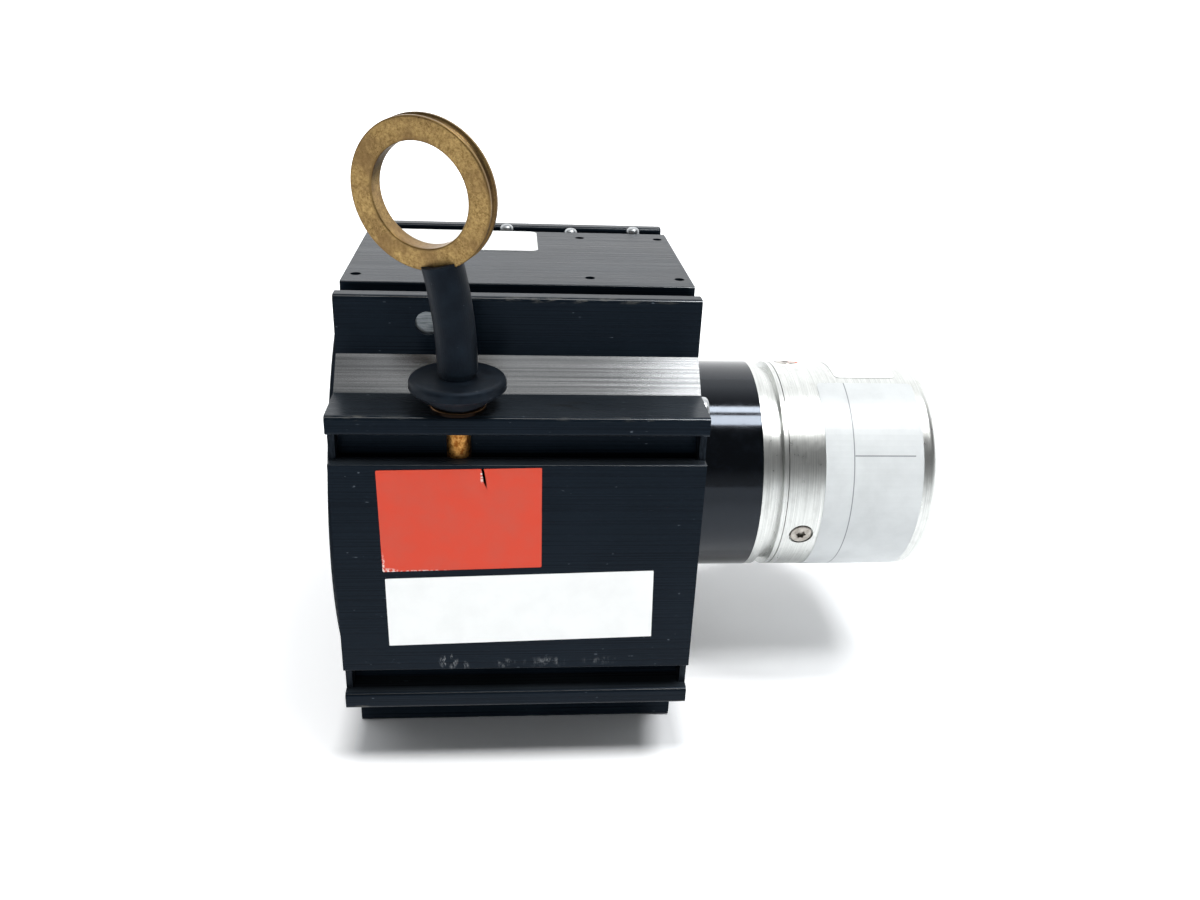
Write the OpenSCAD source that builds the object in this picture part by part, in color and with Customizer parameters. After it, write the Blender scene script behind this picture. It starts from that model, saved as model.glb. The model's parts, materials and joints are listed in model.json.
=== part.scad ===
// Draw wire encoder: an extruded housing with a spring-loaded wire drum, a rotary encoder flanged
// to its right end, and a wire that leaves upward through a nozzle to a grooved ring.
// The origin is the middle of the underside. +X runs along the drum's axis towards the encoder,
// +Y to the rear and +Z up, the way the wire is drawn.

/* [Housing profile] */
// Height and depth of the square extrusion
side = 118; // [116:1:126]
// Length of the extrusion along the drum's axis
body_len = 83; // [80:1:110]
// Wall between the drum's chamber and the middle of each face
panel_wall = 3.8; // [3.4:0.1:4.2]
// Wall between the drum's chamber and the sloping corners
corner_wall = 4.1; // [4.1:0.1:5]
// Width of the open corners beside the lips
corner_w = 20.5; // [19:0.5:22]
// Width of the mounting grooves beside each panel
groove_w = 6.75; // [6:0.25:7]
// Depth of the mounting grooves
groove_d = 7; // [6:0.5:7]
// Thickness of the lips beside the grooves
lip_t = 4.5; // [4:0.25:5]
// Width of the undercut behind each panel edge
undercut_w = 4; // [3:0.5:4]
// Height of the undercut above the groove's floor
undercut_h = 3; // [2.5:0.5:4]
// Rounding of the lips' outer edges
lip_round = 1; // [0.4:0.1:1.4]
// Rounding of the panels' edges
panel_round = 0.4; // [0.2:0.1:0.8]

/* [Plates and screws] */
// Thickness of the end plates' flange, let into the extrusion's ends
flange_t = 1.5; // [1:0.1:2]
// Length of the end plates' spigot in the chamber
spigot_len = 5; // [4:0.5:7]
// Radial clearance of spigots and middle plate in the chamber
spigot_gap = 0.1; // [0.05:0.05:0.2]
// Room for the power spring between the middle and right plates
spring_room = 15.6; // [13:0.1:18]
// Thickness of the middle plate
middle_t = 5; // [4:0.5:6]
// Distance of the round left cover's rim from the faces
cover_in = 2; // [1.5:0.5:6]
// Thickness of the left cover
cover_t = 1.4; // [1.2:0.1:2]
// Radius of the grub screws
set_r = 1.25; // [1:0.05:1.5]
// Distance of the grub screws from the top panel's edges
set_in = 6.55; // [6:0.05:10]
// Depth of the grub screws below the top face
set_sink = 0.7; // [0.3:0.1:1.5]
// Distance of the end plates' edges from the faces
plate_in = 2.6; // [2.4:0.1:5]
// Angle of the corner screws above the horizontal
corner_turn = 37; // [35:1:40]
// Radius of the plugged hole in the top face's front lip
plug_r = 2.75; // [2:0.05:3]
// Distance of the plugged hole from the left end
plug_in = 20.7; // [10:0.1:23]

/* [Drum and wire] */
// Radial clearance of the drum in its chamber
drum_clear = 0.8; // [0.7:0.1:1.2]
// Diameter of the wire rope
wire_d = 1.35; // [1:0.05:1.35]
// Distance between the windings on the drum
wire_pitch = 1.5; // [1.4:0.1:1.8]
// Windings that lie on the drum with the wire run in
windings = 9; // [7:1:12]
// Distance of the wire's exit from the left end
wire_in = 28; // [26:0.5:34]
// Height of the drum's flanges above its winding face
drum_flange_h = 2.1; // [1.6:0.1:2.3]
// Thickness of the drum's rim
drum_rim_t = 3; // [2:0.5:6]
// Free room at each side of the drum
drum_gap = 3; // [2:0.5:4]
// Radius of the drum's shaft
shaft_r = 6; // [5:0.5:8]
// Radial running clearance of the shafts in their bearings
run_gap = 0.05; // [0.02:0.01:0.08]
// Thickness of the power spring's band
spring_t = 0.8; // [0.6:0.1:1.2]
// Distance between the power spring's coils
spring_pitch = 5; // [3:0.5:6]
// Half turns of the power spring
spring_halves = 13; // [9:2:15]

/* [Nozzle and bump stop] */
// Outer radius of the brass nozzle tube
nozzle_r = 2.7; // [2.2:0.1:3]
// Wall of the nozzle's collar above the tube
collar_w = 3.5; // [2:0.1:4.5]
// Height of the nozzle's collar
collar_h = 0.9; // [0.6:0.1:1.5]
// Radius of the rubber bump stop
stop_r = 10.6; // [9:0.1:13]
// Height of the rubber bump stop
stop_h = 6.2; // [5:0.1:8]
// Height of the bump stop's cylindrical band
stop_band = 2.3; // [1.5:0.1:3]

/* [Sleeve and ring] */
// Outer radius of the rubber sleeve
sleeve_r = 4.4; // [4:0.1:5]
// Wall of the rubber sleeve
sleeve_wall = 1.4; // [1:0.1:1.5]
// Bend radius of the sleeve's centre line
sleeve_bend_r = 100; // [80:1:140]
// Angle through which the sleeve bends
sleeve_bend = 13.5; // [10:0.5:15]
// Outer radius of the eye ring
ring_r = 15.55; // [14:0.05:18]
// Inner radius of the eye ring
ring_inner_r = 10.75; // [9:0.05:11]
// Thickness of the eye ring
ring_t = 3.75; // [3.5:0.05:4]
// Angle by which the ring is turned away from the front
ring_turn = 25; // [0:1:40]
// Radius of the groove round the ring's rim
rim_groove_r = 1.1; // [0.6:0.1:1.4]
// Depth of the groove round the ring's rim
rim_groove_d = 0.9; // [0.4:0.1:1.1]

/* [Encoder] */
// Radius of the encoder
encoder_r = 29; // [28:0.1:30]
// Length of the adapter between housing and encoder
adapter_len = 22; // [20:0.5:30]
// Length of the encoder's flange with its clamping groove
enc_flange_len = 6.8; // [6.5:0.1:8]
// Length of the encoder's housing
enc_body_len = 40; // [38:0.5:50]
// Wall of the encoder's housing
enc_wall = 2; // [1.5:0.1:2.5]
// Radius of the encoder's shaft
enc_shaft_r = 5; // [3:0.5:5]
// Rounding of the encoder's rear edge
enc_round = 2; // [0.5:0.1:3]
// Angle of the connector below the horizontal, to the rear
connector_dip = 25; // [0:1:40]
// Radius of the connector's threaded barrel
connector_r = 11.5; // [10:0.1:12]
// Length of the connector's threaded barrel
barrel_len = 14; // [11:0.5:16]

/* [Hidden] */
$fn = 96;
eps = 0.01; // overshoot of cutting tools
fn_small = 24; // facets of small round pieces

// Profile, measured from its centre
half = side / 2;
axis_z = half; // height of the drum's axis
end_x = body_len / 2; // right end of the extrusion
chamber_r = half - panel_wall;
lip_out = half - corner_w; // corner side of a lip
lip_in = lip_out - lip_t; // groove side of a lip
panel_e = lip_in - groove_w; // edge of a panel
lip_top = axis_z + lip_out; // upper side of the front face's upper lip
floor_v = half - groove_d; // floor of a groove
slope_v = (chamber_r + corner_wall) * sqrt(2) - lip_out; // where a corner's slope starts

// Plates and screws
flange_x = end_x - flange_t; // inner face of the end plates' flange
spigot_x = flange_x - spigot_len; // inner face of the end plates' spigot
spigot_r = chamber_r - spigot_gap;
middle_x1 = spigot_x - spring_room;
middle_x0 = middle_x1 - middle_t;
middle_x = middle_x0 + middle_t / 2;
middle_hole_r = 6; // lightening holes of the middle plate
bearing_wall = 7; // radial size of the shaft's bearings
bearing_r = shaft_r + bearing_wall;
bearing_w = 5;
middle_hole_circle = (bearing_r + spigot_r) / 2;
shield_sink = 0.4; // bearing shields below the rings' faces
ring_wall = 1.6; // width of the bearings' rings
corner_screw_r = 1.5;
corner_circle = chamber_r + 2.6;
corner_len = 10; // length of thread in the extrusion
corner_head_r = 3.5;
corner_head_h = 1.7;
plate_wall = 1.2; // extrusion's wall between a plate and a stepped corner
cover_screw_r = 1.5;
cover_head_r = 2.8;
cover_screw_in = 8; // cover screws inside the cover's rim
cover_r = half - cover_in;
cover_circle = cover_r - cover_screw_in;
hex_r = 1.1; // hexagon sockets
hex_d = 1;
set_end = 0.05; // grub screws clear of the plates' flange
set_x = flange_x - set_r - set_end;
set_y = panel_e - set_in;
set_bite = 2; // depth of the grub screws in the plates
set_places = [for (x = [-set_x, middle_x, set_x], y = [-set_y, set_y]) [x, y]];
corner_angles = [corner_turn, 180 - corner_turn, 180 + corner_turn, -corner_turn];
cover_angles = [45, 135, 225, 315];
plug_x = -end_x + plug_in;
plug_down = 6.3; // plugged hole below the top face
plug_z = side - plug_down;
plug_sink = 1.3; // plug below the lip's face

// Screws in the rear groove of the top face
slot_ends = [44.8, 26.5, 8.6]; // distances of the screws from the right end
slot_xs = [for (d = slot_ends) end_x - d];
slot_tops = [1.2, 0.4, 1.1]; // heads above the top face
slot_y = panel_e + groove_w / 2;
slot_screw_r = 1.25;
slot_head_r = 1.9;
slot_head_h = 2.2;
slot_dome = 1.5; // rounding of the heads
nut_len = 8;
nut_h = 2.4;
nut_gap = 0.1;

// Drum and wire
wire_r = wire_d / 2;
wire_x = -end_x + wire_in;
wire_lay = 0.077; // wire above the winding face
open_turn = 270; // arc of the turn that the wire leaves from
core_r = chamber_r - drum_clear - drum_flange_h;
wind_r = core_r + wire_lay + wire_r; // 53.052 mm, which pays out a third of a metre in a turn
wire_y = -wind_r; // the wire leaves the drum straight up at its front
drum_x0 = -spigot_x + drum_gap;
drum_x1 = middle_x0 - drum_gap;
drum_mid = (drum_x0 + drum_x1) / 2;
drum_flange_t = 2;
drum_web_t = 4;
drum_hole_r = 9;
hub_wall = 6;
hub_r = shaft_r + hub_wall;
shaft_end_gap = 0.5; // shaft short of the left cover
arbor_wall = 4;
arbor_r = shaft_r + arbor_wall;
spring_gap = 0.3; // spring clear of its arbor
spring_side_gap = 0.5;
spring_x0 = middle_x1 + spring_side_gap;
spring_x1 = spigot_x - spring_side_gap;
spring_r0 = arbor_r + spring_gap; // inside of the spring
spring_out = spring_r0 + (spring_halves - 1) * spring_pitch / 2 + spring_t;
anchor_r = 2.5;

// Wire exit
wire_gap = 0.5; // wire's free room in the nozzle
nozzle_bore = wire_r + wire_gap;
passage_r = nozzle_bore + 0.6; // hole below the nozzle
nozzle_seat = 4; // depth of the nozzle in the wall below the undercut
nozzle_z0 = axis_z + panel_e - undercut_w - nozzle_seat;
bore_flare = 0.6; // rounded-out ends of the nozzle's bore
collar_r = nozzle_r + collar_w;
collar_round = 0.4;
collar_z = lip_top + collar_h;
stop_gap = 0.1; // bump stop above the collar
stop_z = collar_z + stop_gap;
stop_foot_r = collar_r - 0.7;
stop_round = 1.2;
stop_lip = 0.6; // undercut of the band's lower edge
neck_step = 0.5; // turned-down lower end of the sleeve
neck_h = 1.4;
neck_floor = 0.8;
sleeve_in_r = sleeve_r - sleeve_wall;
sleeve_z = stop_z + stop_h;
bend_z = sleeve_z + neck_h; // where the sleeve's bend starts
bend_x = wire_x - sleeve_bend_r; // centre of the bend
end_px = bend_x + sleeve_bend_r * cos(sleeve_bend);
end_pz = bend_z + sleeve_bend_r * sin(sleeve_bend);
ring_sink = 1.3; // depth of the ring in the sleeve's end
ring_dist = ring_r - ring_sink; // from the sleeve's end to the ring's centre
ring_edge = 0.3;
slot_gap = 0.05; // sleeve's slot beside the ring
terminal_wall = 0.8; // terminal's clearance in the sleeve
terminal_r = sleeve_in_r - terminal_wall;
terminal_len = 9;
crimp_len = terminal_len / 2 - 1; // length of wire in the terminal's foot
kink_z = bend_z + ring_sink + terminal_len; // where the wire turns towards the terminal
kink_r = sleeve_bend_r - (ring_sink + terminal_len) / tan(sleeve_bend / 2);
stud_r = 1.2;
stud_len = 3.2;

// Encoder, along the axis
adapter_r = encoder_r + 0.1;
adapter_x1 = end_x + adapter_len;
adapter_front = 3; // wall against the housing
adapter_rear = 6; // wall that carries the encoder
adapter_in_r = encoder_r - 5;
adapter_hole_r = bearing_r - 1;
flange_x1 = adapter_x1 + enc_flange_len;
joint_gap = 0.2; // dark joint between flange and housing
shell_x0 = flange_x1 + joint_gap;
shell_x1 = shell_x0 + enc_body_len;
land_w = 2.3; // land before the clamping groove
clamp_w = 3.3; // clamping groove
clamp_d = 1.8;
centring_r = 18; // encoder's spigot in the adapter
centring_len = 3;
inner_len = 9; // flange's spigot in the encoder's housing
inner_gap = 0.1;
enc_bearing_wall = 6;
enc_bearing_r = enc_shaft_r + enc_bearing_wall;
enc_bearing_w = 5;
enc_bearing_x = [adapter_x1 - centring_len, flange_x1 + inner_len - enc_bearing_w];
disc_x = flange_x1 + inner_len + 3;
disc_t = 1.2;
shaft_tail = 1.5; // encoder's shaft beyond its code disc
board_x = disc_x + 5;
board_t = 1.6;
board_r = encoder_r - enc_wall - 2;
board_hole_r = enc_shaft_r + 2;
disc_r = board_r - 6;
post_r = 2;
post_circle = board_r - 3;
coupling_gap = 4; // coupling clear of the housing's end
coupling_x0 = end_x + coupling_gap;
coupling_x1 = adapter_x1 - centring_len - 1;
coupling_mid = (coupling_x0 + coupling_x1) / 2;
coupling_r = 11;
clamp_len = 5; // coupling's clamping ends
bellows = 4;
bellows_d = 3;
shaft_split = 0.5; // half the gap between the shafts

// Radial screws of the encoder's housing
body_screw_x = shell_x0 + 5;
body_screw_angles = [-16.5, 103.5, 223.5];
body_screw_r = 1.5;
body_head_r = 3;
body_head_h = 1.2;
spot_r = 3.3; // spot-face round each radial screw
spot_d = 1.15;
body_screw_len = 7;
lobe_r = 1.05; // circle of the screws' six lobes
lobe_w = 0.32;
lobe_d = 0.8;

// Connector, measured outward from the encoder's axis
connector_x = shell_x1 - 20;
socket_r = connector_r - 2;
base_r = connector_r + 1.2;
base_top = encoder_r + 5;
barrel_wall = 1.8;
barrel_floor = 3;
thread_end = base_top + barrel_len;
insert_r = connector_r - barrel_wall;
insert_h = 5;
insert_z = base_top + barrel_floor;
pin_r = 0.5;
pin_seat = 3; // pins start inside the insert
pin_short = 2; // pins end below the barrel's mouth
outer_pins = 9;
inner_pins = 3;
outer_circle = 6.2;
inner_circle = 2.4;
pin_places = concat([for (i = [1:outer_pins]) [i * 360 / outer_pins, outer_circle]],
    [for (i = [1:inner_pins]) [i * 360 / inner_pins, inner_circle]]);

// Shapes on the drum's axis
module on_axis(x = 0) translate([x, 0, axis_z]) rotate([0, 90, 0]) children();
module x_cyl(x0, x1, r) on_axis(x0) cylinder(h = x1 - x0, r = r);
module x_ring(x0, x1, r_out, r_in) difference() {
    x_cyl(x0, x1, r_out);
    x_cyl(x0 - eps, x1 + eps, r_in);
}
// An outline drawn from the profile's centre, extruded along X
module x_extrude(x0, x1)
    translate([x0, 0, axis_z]) rotate([90, 0, 90]) linear_extrude(x1 - x0) children();
// Turned about the axis: 0 is the front, 90 is up
module at_angle(a) translate([0, 0, axis_z]) rotate([-a, 0, 0]) children();
// A place r in front of the axis, inside at_angle(), with +Z along the axis
module at_front(r) translate([0, -r, -axis_z]) children();
// Pointing radially outward from a place r from the axis, inside at_angle()
module radial(x, r) translate([x, -r, 0]) rotate([90, 0, 0]) children();

// The waste between a square corner and its rounding, at a corner that points to +X +Y
module corner_waste(r) translate([-r, -r]) difference() {
    square(r + eps);
    circle(r, $fn = 48);
}
// A round head or disc with a rounded upper edge, standing on z = 0
module round_top(r, h, edge) rotate_extrude() difference() {
    square([r, h]);
    translate([r, h]) corner_waste(edge);
}

// One stepped corner cut out of the square, and all four; wall moves the cut inwards
module notch(wall) let (u = lip_out - wall, v = slope_v - wall * tan(22.5))
    polygon([[u, half + 1], [u, v], [v, u], [half + 1, u], [half + 1, half + 1]]);
module notches(wall = 0) for (q = [0:3]) rotate(q * 90) notch(wall);

// Half of one face: its groove, undercut and rounded edges
module half_face() {
    translate([panel_e, floor_v]) square([groove_w, groove_d + 1]);
    translate([panel_e - undercut_w, floor_v]) square([undercut_w + eps, undercut_h]);
    translate([panel_e, half]) corner_waste(panel_round);
    translate([lip_in, half]) mirror([1, 0]) corner_waste(lip_round);
    translate([lip_out, half]) corner_waste(lip_round);
}

module profile_outline() difference() {
    square(side, center = true);
    notches();
    for (q = [0:3], m = [0, 1]) rotate(q * 90) mirror([m, 0]) half_face();
    circle(chamber_r, $fn = 192);
}

// The end plates' outline: the extrusion's, moved inwards, so it closes the grooves' ends
module plate_outline() difference() {
    square(2 * (half - plate_in), center = true);
    notches(plate_wall);
}

module corner_holes(x0, x1) for (a = corner_angles) at_angle(a) at_front(corner_circle)
    x_cyl(x0, x1, corner_screw_r);
module set_holes(x) for (y = [-set_y, set_y]) translate([x, y, axis_z + floor_v - spigot_len])
    cylinder(h = half, r = set_r);

module housing_profile() color("#1b2129") difference() {
    x_extrude(-end_x, end_x) profile_outline();
    x_extrude(flange_x, end_x + 1) plate_outline();
    x_extrude(-end_x - 1, -flange_x) plate_outline();
    translate([wire_x, wire_y, nozzle_z0]) cylinder(h = side, r = nozzle_r);
    translate([wire_x, wire_y, axis_z]) cylinder(h = side, r = passage_r);
    for (x = [-set_x, middle_x, set_x]) set_holes(x);
    corner_holes(end_x - corner_len, end_x + 1);
    translate([plug_x, -lip_out - 1, plug_z]) rotate([-90, 0, 0])
        cylinder(h = lip_t + 2, r = plug_r);
}

// Right end plate: a flange let into the extrusion and a spigot in the chamber
module end_plate() difference() {
    union() {
        x_extrude(flange_x, end_x) plate_outline();
        x_cyl(spigot_x, flange_x, spigot_r);
    }
    x_cyl(spigot_x - 1, end_x + 1, bearing_r);
    set_holes(set_x);
}
module right_plate() color("#9a9d9f") difference() {
    end_plate();
    corner_holes(flange_x - 1, end_x + 1);
}
module left_plate() color("#9a9d9f") difference() {
    mirror([1, 0, 0]) end_plate();
    for (a = cover_angles) at_angle(a) at_front(cover_circle)
        x_cyl(-end_x - 1, -spigot_x + 1, cover_screw_r);
}

// Bearing plate between the drum and the power spring
module middle_plate() color("#9a9d9f") difference() {
    x_cyl(middle_x0, middle_x1, spigot_r);
    x_cyl(middle_x0 - 1, middle_x1 + 1, bearing_r);
    set_holes(middle_x);
    for (a = [0:60:300]) at_angle(a) at_front(middle_hole_circle)
        x_cyl(middle_x0 - 1, middle_x1 + 1, middle_hole_r);
}

// Round cover over the left bearing
module left_cover() color("#23282f") difference() {
    on_axis(-end_x) mirror([0, 0, 1]) round_top(cover_r, cover_t, cover_t / 2);
    for (a = cover_angles) at_angle(a) at_front(cover_circle) {
        x_cyl(-end_x - cover_t - 1, -end_x + 1, cover_screw_r);
        on_axis(-end_x - cover_t) countersink();
    }
}
module countersink() cylinder(h = cover_t, r1 = cover_head_r, r2 = cover_screw_r);

module cover_screw(n) color("silver") at_angle(cover_angles[n - 1]) at_front(cover_circle) difference() {
    union() {
        x_cyl(-end_x - eps, -spigot_x, cover_screw_r);
        on_axis(-end_x - cover_t) countersink();
    }
    on_axis(-end_x - cover_t - eps) cylinder(h = hex_d, r = hex_r, $fn = 6);
}

module corner_screw(n) color("#e8eaec") at_angle(corner_angles[n - 1]) at_front(corner_circle) difference() {
    union() {
        x_cyl(end_x - corner_len, end_x + eps, corner_screw_r);
        on_axis(end_x) round_top(corner_head_r, corner_head_h, corner_head_h * 0.6);
    }
    on_axis(end_x + corner_head_h - hex_d) cylinder(h = hex_d + eps, r = hex_r, $fn = 6);
}

// Grub screw that holds a plate from the top face
module set_screw(n) color("silver")
    let (p = set_places[n - 1], z0 = axis_z + sqrt(pow(spigot_r, 2) - pow(p[1], 2)) - set_bite,
         h = side - set_sink - z0)
    translate([p[0], p[1], z0]) difference() {
        cylinder(h = h, r = set_r);
        translate([0, 0, h - hex_d]) cylinder(h = hex_d + eps, r = set_r * 0.6, $fn = 6);
    }

module lip_plug() color("#a9aca9")
    translate([plug_x, -lip_out + plug_sink, plug_z]) rotate([-90, 0, 0])
        cylinder(h = lip_t - plug_sink, r = plug_r);

// Slot nuts and dome-headed screws in the rear groove of the top face
module slot_nut(n) color("silver") difference() {
    translate([slot_xs[n - 1] - nut_len / 2, panel_e - undercut_w + nut_gap, side - groove_d])
        cube([nut_len, undercut_w + groove_w - 2 * nut_gap, nut_h]);
    translate([slot_xs[n - 1], slot_y, side - groove_d - 1]) cylinder(h = nut_h + 2, r = slot_screw_r);
}
module slot_screw(n) color("#e8eaec")
    let (head_z = groove_d + slot_tops[n - 1] - slot_head_h)
    translate([slot_xs[n - 1], slot_y, side - groove_d]) {
        cylinder(h = head_z + eps, r = slot_screw_r);
        translate([0, 0, head_z]) round_top(slot_head_r, slot_head_h, slot_dome);
    }

// Brass guide tube: down through the lip and across the groove into the panel's wall
module nozzle() color("#b08d4c") translate([wire_x, wire_y, 0]) difference() {
    union() {
        translate([0, 0, nozzle_z0]) cylinder(h = lip_top - nozzle_z0 + eps, r = nozzle_r);
        translate([0, 0, lip_top]) round_top(collar_r, collar_h, collar_round);
    }
    translate([0, 0, nozzle_z0 - 1]) cylinder(h = side, r = nozzle_bore);
    translate([0, 0, collar_z - bore_flare])
        cylinder(h = bore_flare + eps, r1 = nozzle_bore, r2 = nozzle_bore + bore_flare);
    translate([0, 0, nozzle_z0 - eps])
        cylinder(h = bore_flare, r1 = nozzle_bore + bore_flare, r2 = nozzle_bore);
}

// Ball bearing with its shields below the rings' faces
module ball_bearing(x0, w, r_out, r_in) difference() {
    x_ring(x0, x0 + w, r_out, r_in);
    for (x = [x0 - eps, x0 + w - shield_sink])
        x_ring(x, x + shield_sink + eps, r_out - ring_wall, r_in + ring_wall);
}
module shaft_bearing(x0) color("silver") ball_bearing(x0, bearing_w, bearing_r, shaft_r + run_gap);

// Power spring: half rings whose centres alternate, so that each meets the next
module power_spring() color("#5b6670") for (k = [0:spring_halves - 1]) let (upper = k % 2 == 0)
    translate([0, upper ? 0 : spring_pitch / 2, 0]) on_axis(spring_x0) rotate(upper ? 90 : -90)
        rotate_extrude(angle = 180) translate([spring_r0 + k * spring_pitch / 2, 0])
            square([spring_t, spring_x1 - spring_x0]);
// Post that the spring's outer end is riveted to
module spring_anchor() color("#8b9196") translate([0, -spring_out - anchor_r, 0])
    x_cyl(middle_x1, spigot_x, anchor_r);

// Drum: rim with flanges, web with lightening holes, and hub
module drum() color("#8f9499") difference() {
    union() {
        x_cyl(drum_x0, drum_x1, core_r);
        x_cyl(drum_x0, drum_x0 + drum_flange_t, core_r + drum_flange_h);
        x_cyl(drum_x1 - drum_flange_t, drum_x1, core_r + drum_flange_h);
    }
    x_ring(drum_x0 - 1, drum_mid - drum_web_t / 2, core_r - drum_rim_t, hub_r);
    x_ring(drum_mid + drum_web_t / 2, drum_x1 + 1, core_r - drum_rim_t, hub_r);
    x_cyl(drum_x0 - 1, drum_x1 + 1, shaft_r);
    for (a = [0:60:300]) at_angle(a) at_front((hub_r + core_r) / 2)
        x_cyl(drum_x0, drum_x1, drum_hole_r);
}
module drum_shaft() color("#aab0b5") {
    x_cyl(-end_x + shaft_end_gap, end_x, shaft_r);
    x_cyl(end_x - eps, coupling_mid - shaft_split, enc_shaft_r);
}
// Windings side by side, and the open turn that the straight wire leaves from
module wire_turn(angle) rotate_extrude(angle = angle) translate([wind_r, 0]) circle(wire_r, $fn = fn_small);
module wire_winding() color("#9aa1a6") {
    for (i = [1:windings]) on_axis(wire_x + i * wire_pitch) wire_turn(360);
    on_axis(wire_x) rotate(-90) wire_turn(open_turn);
}
module spring_arbor() color("#7b8186") x_ring(spring_x0, spring_x1, arbor_r, shaft_r);

// Bellows coupling between the drum's shaft and the encoder's shaft
module shaft_coupling() color("#b9bec2")
    let (w = (coupling_x1 - coupling_x0 - 2 * clamp_len) / (2 * bellows)) difference() {
        x_cyl(coupling_x0, coupling_x1, coupling_r);
        x_cyl(coupling_x0 - 1, coupling_x1 + 1, enc_shaft_r);
        for (i = [0:bellows - 1]) let (x = coupling_x0 + clamp_len + (2 * i + 0.5) * w)
            x_ring(x, x + w, coupling_r + 1, coupling_r - bellows_d);
    }

// The straight wire from the drum to the bump stop
module draw_wire() color("#c4c8cb") translate([wire_x, wire_y, axis_z])
    cylinder(h = stop_z - axis_z, r = wire_r, $fn = fn_small);
// An outline swept along the sleeve's bend
module bent(angle) translate([bend_x, wire_y, bend_z]) rotate([90, 0, 0])
    rotate_extrude(angle = angle, $fn = 360) translate([sleeve_bend_r, 0]) children();
// The wire's end in the bump stop and the sleeve, turned into the terminal's foot
module wire_tail() color("#c4c8cb") {
    translate([wire_x, wire_y, stop_z]) cylinder(h = kink_z - stop_z, r = wire_r, $fn = fn_small);
    translate([wire_x - kink_r, wire_y, kink_z]) rotate([90, 0, 0])
        rotate_extrude(angle = sleeve_bend, $fn = 360)
            translate([kink_r, 0]) circle(wire_r, $fn = fn_small);
    at_sleeve_end() translate([0, 0, -ring_sink - terminal_len])
        cylinder(h = crimp_len, r = wire_r, $fn = fn_small);
}
// The sleeve's upper end, with +Z towards the ring's centre, and the ring's own frame
module at_sleeve_end() translate([end_px, wire_y, end_pz]) rotate([0, -sleeve_bend, 0]) children();
module at_ring() at_sleeve_end() translate([0, 0, ring_dist]) rotate([90, 0, -ring_turn]) children();
module wire_terminal() color("#a6abaf") at_sleeve_end() difference() {
    translate([0, 0, -ring_sink]) {
        translate([0, 0, -terminal_len]) cylinder(h = terminal_len, r = terminal_r);
        cylinder(h = stud_len, r = stud_r);
    }
    translate([0, 0, -ring_sink - terminal_len - 1]) cylinder(h = crimp_len + 1, r = wire_r + 0.1);
}

// Bump stop: flat top, rounded band and a cone down to the nozzle's collar
module bump_stop() color("#20262e") translate([wire_x, wire_y, stop_z]) rotate_extrude() difference() {
    polygon([[wire_r, 0], [stop_foot_r, 0], [stop_r - stop_lip, stop_h - stop_band - stop_lip],
        [stop_r, stop_h - stop_band], [stop_r, stop_h], [wire_r, stop_h]]);
    translate([stop_r, stop_h]) corner_waste(stop_round);
}

// Rubber sleeve over the terminal, slotted for the ring
module sleeve() color("#252b33") difference() {
    union() {
        translate([wire_x, wire_y, sleeve_z]) cylinder(h = neck_h, r = sleeve_r - neck_step);
        bent(sleeve_bend) circle(sleeve_r, $fn = 48);
    }
    translate([wire_x, wire_y, sleeve_z - 1]) cylinder(h = neck_h + 1, r = wire_r);
    translate([wire_x, wire_y, sleeve_z + neck_floor]) cylinder(h = neck_h, r = sleeve_in_r);
    bent(sleeve_bend + 1) circle(sleeve_in_r, $fn = 48);
    at_ring() cylinder(h = ring_t + 2 * slot_gap, r = ring_r + slot_gap, center = true);
}

// Eye ring: flat faces, a groove round its rim and a blind hole for the terminal's stud
module eye_ring() color("#b08d4c") difference() {
    at_ring() rotate_extrude($fn = 144) difference() {
        translate([ring_inner_r, -ring_t / 2]) square([ring_r - ring_inner_r, ring_t]);
        translate([ring_r + rim_groove_r - rim_groove_d, 0]) circle(rim_groove_r, $fn = 48);
        for (m = [0, 1]) mirror([0, m]) {
            translate([ring_r, ring_t / 2]) corner_waste(ring_edge);
            translate([ring_inner_r, ring_t / 2]) mirror([1, 0]) corner_waste(ring_edge);
        }
    }
    at_sleeve_end() translate([0, 0, -ring_sink - 1]) cylinder(h = stud_len + 1, r = stud_r);
}

// Adapter: a black tube with a wall at each end
module adapter() color("#14171c") difference() {
    x_cyl(end_x, adapter_x1, adapter_r);
    x_cyl(end_x + adapter_front, adapter_x1 - adapter_rear, adapter_in_r);
    x_cyl(end_x - 1, adapter_x1, adapter_hole_r);
    x_cyl(adapter_x1 - centring_len, adapter_x1 + 1, centring_r);
}

// Encoder flange with its clamping groove, centring spigot and board posts
module encoder_flange() color("#b4b7b9") difference() {
    union() {
        x_cyl(adapter_x1, flange_x1, encoder_r);
        x_cyl(adapter_x1 - centring_len, flange_x1, centring_r);
        x_cyl(flange_x1 - eps, flange_x1 + inner_len, encoder_r - enc_wall - inner_gap);
        for (a = [30:120:270]) at_angle(a) at_front(post_circle) x_cyl(flange_x1, board_x, post_r);
    }
    x_ring(adapter_x1 + land_w, adapter_x1 + land_w + clamp_w, encoder_r + 1, encoder_r - clamp_d);
    x_cyl(adapter_x1 - centring_len - 1, flange_x1 + inner_len + 1, enc_bearing_r);
    body_screw_holes();
}
module body_screw_holes() for (a = body_screw_angles) at_angle(a)
    radial(body_screw_x, encoder_r - spot_d - body_screw_len)
        cylinder(h = body_screw_len + 2, r = body_screw_r);
module encoder_bearing(n) color("silver")
    ball_bearing(enc_bearing_x[n - 1], enc_bearing_w, enc_bearing_r, enc_shaft_r + run_gap);
module encoder_shaft() color("#aab0b5")
    x_cyl(coupling_mid + shaft_split, disc_x + disc_t + shaft_tail, enc_shaft_r);
module code_disc() color("#9fb4bd") x_ring(disc_x, disc_x + disc_t, disc_r, enc_shaft_r);
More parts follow.
